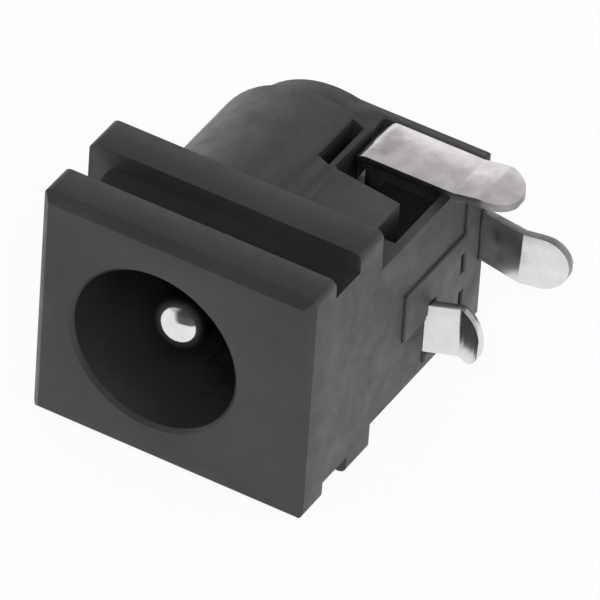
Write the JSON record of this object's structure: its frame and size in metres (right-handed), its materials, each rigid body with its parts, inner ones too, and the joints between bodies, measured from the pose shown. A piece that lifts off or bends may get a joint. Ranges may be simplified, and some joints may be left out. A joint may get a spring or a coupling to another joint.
{
  "type": "dc barrel jack",
  "caption": "Right-angle through-hole DC power jack with a round socket, a centre pin, a panel groove and solder tails.",
  "frame": {"origin": "on the plug axis, in the plane of the front face", "axes": "+Y runs from the front face into the jack, so the plug leaves along -Y. +X points to the circuit board, the way the solder tails point. +Z is the side that carries the switch contact. The jack lies on its -Z side, as a loose one does."},
  "size_m": [0.0142, 0.0121, 0.0096],
  "materials": {
    "housing": "moulded black plastic, fine satin grain",
    "terminal_base": "moulded black plastic, fine satin grain",
    "centre_pin": "turned brass, bright tin plated",
    "centre_terminal": "brass sheet, bright tin plated",
    "sleeve_spring": "spring brass sheet, bright tin plated",
    "switch_contact": "brass sheet, tin plated, slightly dull"
  },
  "bodies": {
    "root": {"housing": "housing", "terminal_base": "terminal_base", "centre_pin": "centre_pin", "centre_terminal": "centre_terminal", "sleeve_spring": "sleeve_spring", "switch_contact": "switch_contact"}
  },
  "joints": []
}
